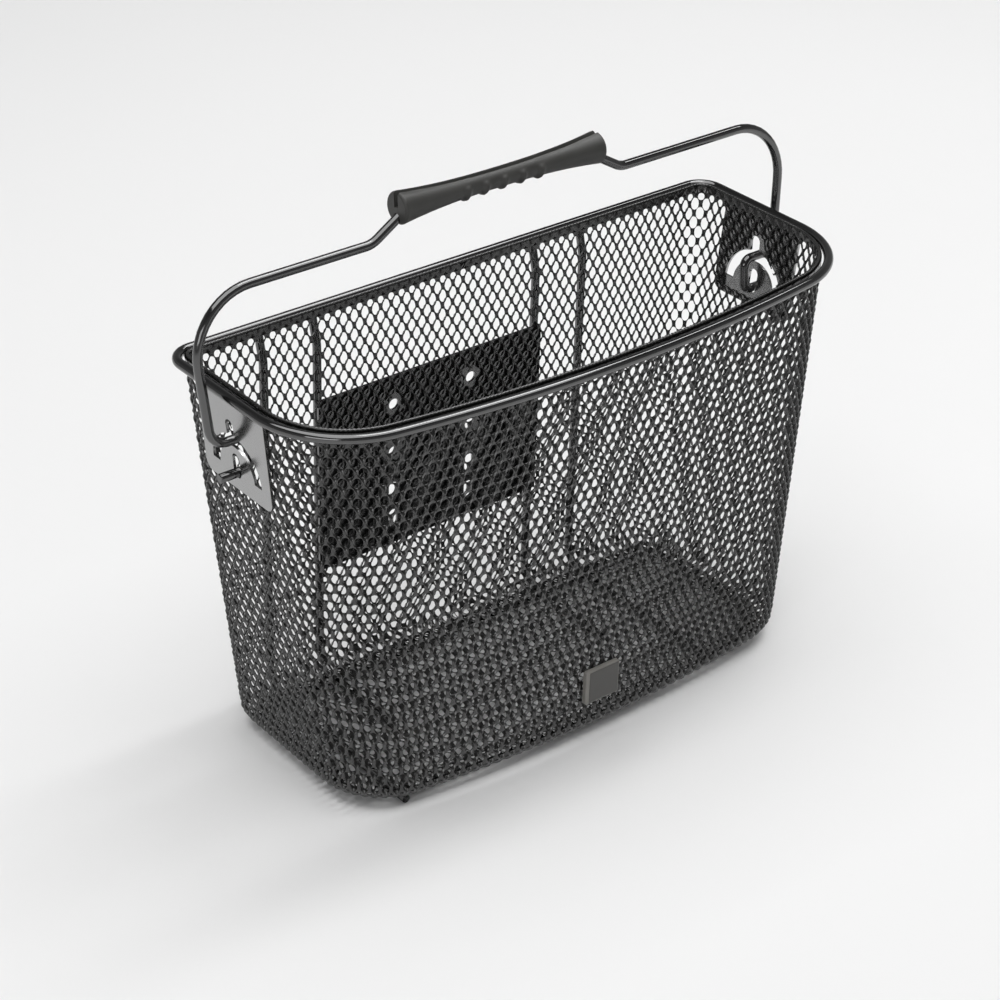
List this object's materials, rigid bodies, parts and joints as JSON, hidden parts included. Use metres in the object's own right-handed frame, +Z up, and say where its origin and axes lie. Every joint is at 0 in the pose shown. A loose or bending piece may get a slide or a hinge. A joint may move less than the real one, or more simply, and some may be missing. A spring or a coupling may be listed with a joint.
{
  "type": "handlebar basket",
  "caption": "Deep black wire-mesh handlebar basket with a bowed front, flat back carrying a drilled mounting plate, and a swinging wire bail with a moulded grip.",
  "frame": {"origin": "on the floor under the middle of the basket's footprint", "axes": "+Z up, +X along the basket's length, -Y the bowed front, +Y the flat back that is bolted to the bicycle"},
  "size_m": [0.368, 0.1426, 0.288],
  "materials": {
    "gloss_black": "gloss",
    "satin_black": "satin",
    "badge_grey": "satin"
  },
  "bodies": {
    "basket": {"rim_wire": "gloss_black", "mesh_hem": "gloss_black", "mesh_wall": "gloss_black", "mesh_base": "gloss_black", "outer_left_stay": "gloss_black", "inner_left_stay": "gloss_black", "inner_right_stay": "gloss_black", "outer_right_stay": "gloss_black", "back_mount_plate": "gloss_black", "left_hinge_plate": "gloss_black", "right_hinge_plate": "gloss_black", "badge": "badge_grey"},
    "bail": {"bail_wire": "gloss_black", "bail_grip": "satin_black"}
  },
  "joints": [
    {"name": "bail_swing", "type": "hinge", "parent": "basket", "child": "bail", "pos_m": [0, 0.0147, 0.175], "axis": [1, 0, 0], "range_deg": [-74, 63]}
  ]
}
